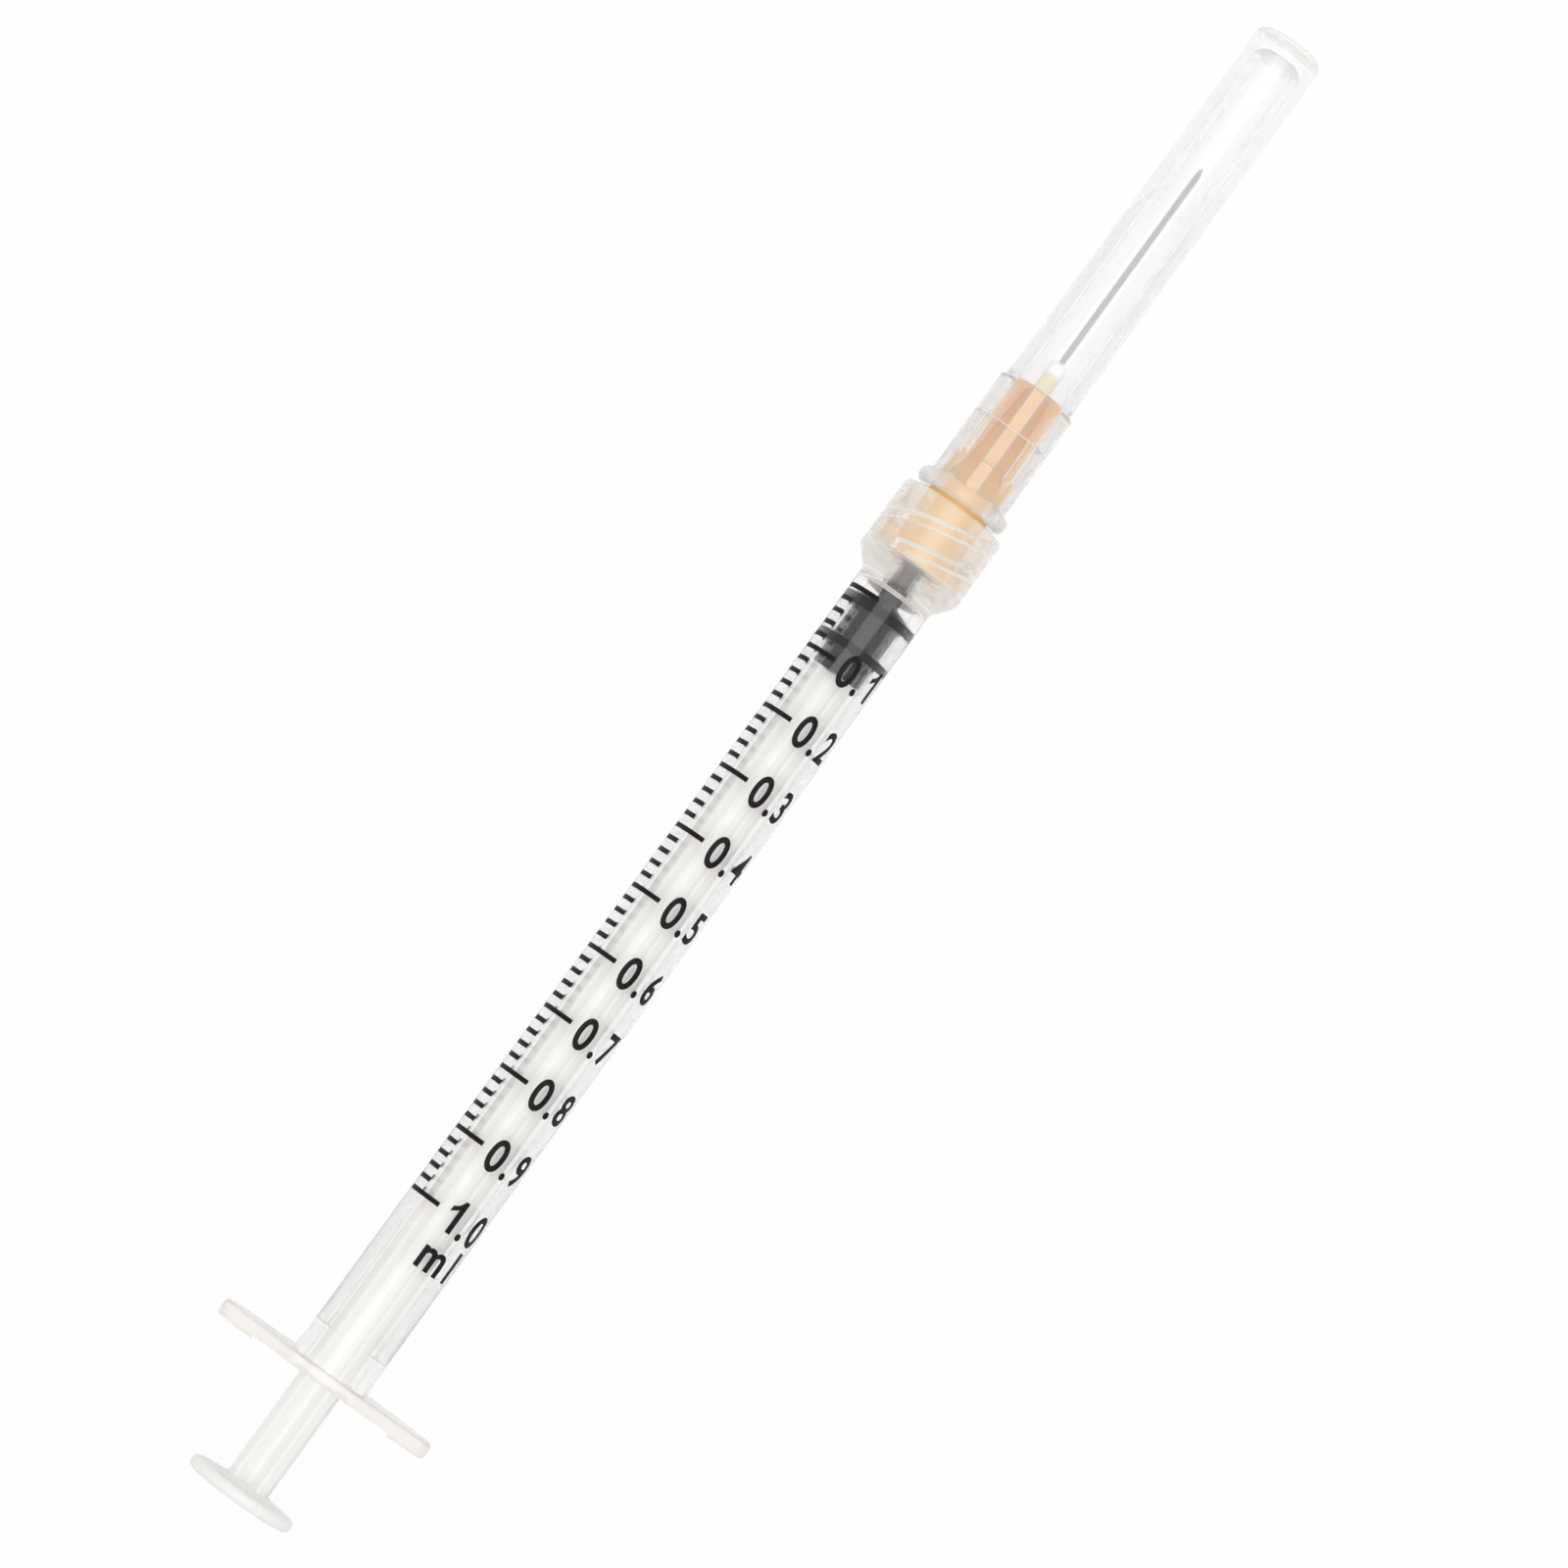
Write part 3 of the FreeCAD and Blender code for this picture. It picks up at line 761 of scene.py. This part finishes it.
def scale_figures():
    """Figures 0.1 to 1.0 beside the long marks, and ml, wrapped round the tube."""
    degree = math.radians(1) * (TUBE_REAR + TUBE_FRONT) / 2
    glyphs = []
    for tenth in range(1, 11):
        label = "{:.1f}".format(tenth / 10)
        baseline = STOPPER_FRONT - tenth * FULL_TRAVEL / 10 - 1.42
        for character, start in zip(label, (0, -31, -47)):
            if character == "1":
                glyphs.append(flat_one(baseline, (start - 2) * degree, 3.0, 3.85))
            else:
                glyphs.append(flat_glyph(character, baseline, start * degree, 2.95, 3.8))
    glyphs.append(flat_glyph("m", 22.65, -5 * degree, 3.2, 3.85))
    glyphs.append(flat_glyph("l", 22.65, -59 * degree, 3.2, 3.85))
    figures = gather("scale_figures", glyphs)
    bpy.ops.object.mode_set(mode="EDIT")
    bpy.ops.mesh.select_all(action="SELECT")
    bpy.ops.mesh.remove_doubles(threshold=10 * MERGE)
    # Cut into narrow strips, so that they bend round the tube
    for cut in range(1, 31):
        bpy.ops.mesh.select_all(action="SELECT")
        bpy.ops.mesh.bisect(plane_co=(0, -cut * 2.7 * degree, 0), plane_no=(0, 1, 0), threshold=MERGE)
    bpy.ops.mesh.select_all(action="SELECT")
    bpy.ops.mesh.dissolve_degenerate(threshold=4 * MERGE)
    bpy.ops.mesh.delete_loose()
    bpy.ops.mesh.select_all(action="SELECT")
    bpy.ops.mesh.extrude_region_move(TRANSFORM_OT_translate={"value": (0, 0, 1)})
    close_mesh()
    for vertex in figures.data.vertices:
        station, along, height = vertex.co
        lift = (INK_DEPTH + INK_HEIGHT) * height - INK_DEPTH
        vertex.co = place(station, tube_radius(station) + lift, along / degree)
    return figures


def plunger_rod():
    """Thumb rest, ribs in a cross, and the snap head inside the stopper."""
    rest = turned("plunger_rod_moulding", [
        (0, 0), (0, THUMB_REST, 0.45), (THUMB_REST_END, THUMB_REST, 0.45), (THUMB_REST_END, 2.6, 0.25),
        (THUMB_REST_END + 0.35, RIB_REACH), (THUMB_REST_END + 0.35, 0),
    ])
    half = 0.575
    corners = []
    for rib in range(4):
        turn = Matrix.Rotation(math.radians(40 + 90 * rib), 2)
        for reach, side, rounding in ((RIB_REACH, -half, 0.22), (RIB_REACH, half, 0.22), (half, half, 0.4)):
            point = turn @ Vector((reach, side))
            corners.append((point.x, point.y, rounding))
    shaft = prism("shaft", corners, THUMB_REST_END - 0.3, STOPPER_REAR - 0.06)
    head = turned("head", [
        (STOPPER_REAR - 0.5, 0), (STOPPER_REAR - 0.5, 0.95), (STOPPER_REAR + 1.2, 0.95),
        (STOPPER_REAR + 1.2, 1.55), (STOPPER_REAR + 3.1, 1.55, 0.5), (STOPPER_REAR + 3.1, 0),
    ])
    combine(rest, shaft, "UNION")
    combine(rest, head, "UNION")
    return rest


def plunger_stopper():
    """Rubber stopper whose rings press on the bore, with its nose in the tip."""
    ring = BORE + 0.01
    rear_ring = STOPPER_REAR + 1.85
    front_ring = STOPPER_FRONT - 0.25
    nose_root = STOPPER_FRONT + 0.5
    socket = STOPPER_REAR + 1.14
    return turned_wall("plunger_stopper_rubber", [
        (STOPPER_REAR, 1.01), (STOPPER_REAR, STOPPER_CORE, 0.15),
        (rear_ring, STOPPER_CORE, 0.1), (rear_ring, ring, 0.2), (rear_ring + 0.95, ring, 0.2),
        (rear_ring + 0.95, STOPPER_CORE, 0.1), (front_ring - 0.95, STOPPER_CORE, 0.1),
        (front_ring - 0.95, ring, 0.2),
        (front_ring, ring, 0.1), (STOPPER_FRONT, 2.15, 0.1), (nose_root, 0.95, 0.2),
        (nose_root + 6.9, 0.95, 0.5), (nose_root + 6.9, 0.001), (STOPPER_REAR + 3.16, 0.001),
        (STOPPER_REAR + 3.16, 1.61, 0.4), (socket, 1.61), (socket, 1.01),
    ])


def hub_fin(angle):
    """Fin of the hub: high where the cap grips it, then lower, with a steep front."""
    half = 0.475
    shoulder = HUB_REAR + 9.45
    profile = rounded([
        (HUB_ROUND_END - 0.3, 0.3), (HUB_ROUND_END - 0.3, 2.68), (shoulder, 2.68, 0.2),
        (shoulder + 0.3, 2.17, 0.1), (FINS_END, 2.17, 0.2), (FINS_END + 0.3, 1.0, 0.2),
        (FINS_END + 0.3, 0.3)])
    side = Vector((0, half, 0))
    fin = raised("fin", [place(station, radius) - side for station, radius in profile], 2 * side)
    soften_rims(fin, lambda face: abs(face.normal.y) > 0.9, 0.14)
    fin.data.transform(turn_about_axis(angle))
    return fin


def hub_lug(angle):
    """Lug that runs in the collar's thread."""
    tilt = math.atan(THREAD_LEAD / (math.pi * 7.7))
    middle = HUB_REAR + 1.15
    lug = prism("lug", [(0, -1.2), (3.4, -1.2, 0.3), (3.83, 0, 1.5), (3.4, 1.2, 0.3), (0, 1.2)],
                middle - 0.55, middle + 0.55)
    pivot = place(middle)
    lug.data.transform(Matrix.Translation(pivot) @ Matrix.Rotation(tilt, 4, "Y") @ Matrix.Translation(-pivot))
    lug.data.transform(turn_about_axis(angle))
    return lug


def needle_hub():
    """Round socket, four fins with flutes between them, slim nose and two lugs."""
    hub = turned("needle_hub_moulding", [
        (HUB_REAR, 0), (HUB_REAR, 2.65, 0.15), (CAP_RIM, HUB_BODY), (HUB_ROUND_END, HUB_BODY, 0.1),
        (HUB_ROUND_END, 2.35, 0.1), (HUB_REAR + 9.2, 1.7), (FINS_END, 1.15),
        (FINS_END + 0.15, 0.73, 0.1), (NOSE_END, 0.73), (NOSE_END, 0),
    ])
    for index in range(4):
        combine(hub, hub_fin(90 * index), "UNION")
    for angle in (0, 180):
        combine(hub, hub_lug(angle), "UNION")
    socket_end = HUB_REAR + 7.5
    socket = turned("socket", [
        (HUB_REAR - 1, 0), (HUB_REAR - 1, taper_radius(HUB_REAR - 1) + 0.03),
        (socket_end, taper_radius(socket_end) + 0.03), (socket_end + 0.9, 0.26),
        (NOSE_END + 1, 0.26), (NOSE_END + 1, 0),
    ])
    combine(hub, socket, "DIFFERENCE")
    # The fins' rounded edges and front steps, drawn pale as a painted highlight.
    frost_and_paint_highlights(hub, lambda station, radius, steep: (
        steep and station > HUB_ROUND_END + 0.2
        and (radius > 2.52 or station > HUB_REAR + 9.8 and radius > 2.02)))
    return hub


def needle_cannula():
    """Steel tube with its ground bevel open side up."""
    outer, lumen = 0.25, 0.13
    rear = HUB_REAR + 9.0
    tube = turned_wall("needle_cannula_tube", [
        (rear, lumen), (rear, outer, 0.03), (NEEDLE_TIP, outer), (NEEDLE_TIP, lumen)])
    slope = math.radians(13)
    select_only(tube)
    bpy.ops.object.mode_set(mode="EDIT")
    bpy.ops.mesh.select_all(action="SELECT")
    bpy.ops.mesh.bisect(plane_co=place(NEEDLE_TIP, -outer), plane_no=(math.sin(slope), 0, math.cos(slope)),
                        use_fill=True, clear_outer=True, threshold=MERGE)
    close_mesh()
    return tube


def needle_adhesive():
    """Domed bead of glue at the end of the hub's nose."""
    return turned_wall("needle_adhesive_bead", [
        (NOSE_END, 0.25), (NOSE_END, 0.75, 0.15), (BEAD_END, 0.75, 0.6), (BEAD_END, 0.25, 0.08)])


def cap_rib(angle):
    """Low bullet-ended rib inside the cap's grip."""
    half = 0.4
    flank = GRIP_END - 3.75 + half
    outline = [(flank - half * math.cos(math.radians(turn)), half * math.sin(math.radians(turn)))
               for turn in range(-90, 91, 15)]
    outline = [(GRIP_END + 0.2, -half)] + outline + [(GRIP_END + 0.2, half)]
    bottom = [Vector((station, across, CAP_GRIP - 0.2)) for station, across in outline]
    rib = raised("rib", bottom, (0, 0, 0.5))
    soften_rims(rib, lambda face: face.normal.z < -0.9, 0.09)
    rib.data.transform(turn_about_axis(angle))
    return rib


def needle_cap():
    """Rim, skirt and long body of the cap, with ribs that keep the fins from turning."""
    cap = turned_wall("needle_cap_moulding", [
        (CAP_RIM, CAP_GRIP + 0.35, 0.1), (CAP_RIM, CAP_BEAD, 0.6), (CAP_RIM + 1.36, CAP_BEAD, 0.6),
        (CAP_RIM + 1.36, CAP_SKIRT, 0.1), (SKIRT_END, CAP_SKIRT, 0.15), (SKIRT_END + 0.25, 3.02, 0.1),
        (CAP_END, 2.93, 0.7), (CAP_END, 0.001), (CAP_BOTTOM, 0.001), (CAP_BOTTOM, 1.4, 0.9),
        (WELL_END + 1.2, 1.4, 2.0), (WELL_END - 1.2, 1.85, 2.0), (POCKET_END, 1.85, 0.2),
        (FINS_END + 0.06, CAP_COLLET, 0.1), (GRIP_END, CAP_COLLET, 0.1), (GRIP_END, CAP_GRIP, 0.1),
        (CAP_RIM + 0.35, CAP_GRIP),
    ])
    for index in range(4):
        combine(cap, cap_rib(48.3 + 90 * index), "UNION")
    # Rib flanks, well bottom and tip rounding: matt from the mould, and drawn whiter as a painted highlight.
    frost_and_paint_highlights(cap, lambda station, radius, steep: (
        steep and GRIP_END - 3.9 < station < GRIP_END + 0.1 and CAP_COLLET < radius < CAP_GRIP - 0.01
        or station > CAP_BOTTOM - 0.9 and radius < 1.39
        or steep and station > CAP_END - 0.6 and radius > 2.3))
    return cap


# The table, the light and the camera

def table():
    """White table that shows white behind the clear plastic and still takes a soft shadow."""
    bpy.ops.object.select_all(action="DESELECT")
    bpy.ops.mesh.primitive_grid_add(x_subdivisions=4, y_subdivisions=4, size=6, location=(0, 0, cad_box[0].z))
    top = bpy.context.object
    top.name = "table"
    bpy.ops.object.transform_apply(location=True)
    finish = Finish(bpy.data.materials.new("white table"))
    seen = finish.seen_directly()
    matt = finish.node("BsdfDiffuse", {}, {"Color": (0.94, 0.94, 0.94, 1)})
    glow = finish.node("Emission", {}, {"Color": (1, 1, 1, 1), "Strength": 1.0})
    top.data.materials.append(finish.surface(finish.mix_shaders(seen * 0.95, matt, glow)))


def softbox(height, along_size, across_size, watts):
    """Wide soft lamp straight above; it shows as the pale band along the top of the clear tubes."""
    bpy.ops.object.select_all(action="DESELECT")
    bpy.ops.object.light_add(type="AREA", location=(0, 0, height))
    lamp = bpy.context.object
    lamp.data.shape = "RECTANGLE"
    lamp.data.size = along_size
    lamp.data.size_y = across_size
    lamp.data.energy = watts
    lamp.data.color = (1.0, 0.995, 0.985)
    lamp.visible_transmission = False


def room():
    """Pale room: white round the table, a little dimmer overhead, most of all in plain reflections."""
    world = bpy.data.worlds.new("room")
    bpy.context.scene.world = world
    finish = Finish(world)
    seen = finish.seen_directly()
    through_clear = finish.node("LightPath", {}, {}, "Is Transmission Ray")
    direction = finish.node("TexCoord", {}, {}, "Generated")
    split = finish.node("SeparateXYZ", {}, {"Vector": direction})
    height = Signal(finish, split.socket.node.outputs["Z"])
    overhead = finish.ramp(height, 0.05, 0.6)
    ceiling = finish.blend(through_clear, (0.42, 0.42, 0.43, 1), (0.88, 0.88, 0.88, 1))
    shown = finish.blend(overhead, (1, 1, 1, 1), ceiling)
    backdrop = finish.node("Background", {}, {"Color": shown, "Strength": 1.0})
    light = finish.node("Background", {}, {"Color": (1, 1, 1, 1), "Strength": 0.56})
    mixed = finish.mix_shaders(seen, light, backdrop)
    finish.node("OutputWorld", {}, {"Surface": mixed})


def camera():
    """Camera above the table, as far off and as turned as in the photograph."""
    where = Vector((-0.031975, -0.00175, 0.4977))
    target = Vector((-0.000475, -0.00175, AXIS_Z))
    picture_up = Vector((0.81, 0.5865, 0))
    bpy.ops.object.camera_add(location=where)
    eye = bpy.context.object
    forward = (target - where).normalized()
    right = forward.cross(picture_up).normalized()
    up = right.cross(forward)
    eye.matrix_world = Matrix.Translation(where) @ Matrix((right, up, -forward)).transposed().to_4x4()
    eye.data.lens = 146.0
    eye.data.sensor_width = 36.0
    eye.data.clip_start = 0.01
    bpy.context.scene.camera = eye


moulding = barrel()
dress(moulding, "barrel", "barrel", clear_barrel_plastic())
marks = gather("scale_print", [scale_strokes(), scale_figures()])
dress(marks, "barrel", "scale_marks", printed_ink())
dress(plunger_rod(), "rod", "plunger_rod", white_rod_plastic())
dress(plunger_stopper(), "stopper", "plunger_stopper", black_rubber())
dress(needle_hub(), "needle", "needle_hub", amber_hub_plastic())
dress(needle_cannula(), "needle", "needle_cannula", ground_steel())
dress(needle_adhesive(), "needle", "needle_adhesive", cured_adhesive())
cap = needle_cap()
dress(cap, "cap", "needle_cap", clear_cap_plastic())
for clear_piece in (moulding, cap):
    clear_piece.visible_shadow = False

table()
softbox(height=0.74, along_size=0.9, across_size=0.6, watts=3.2)
room()
camera()
bpy.context.scene.view_settings.view_transform = "Standard"
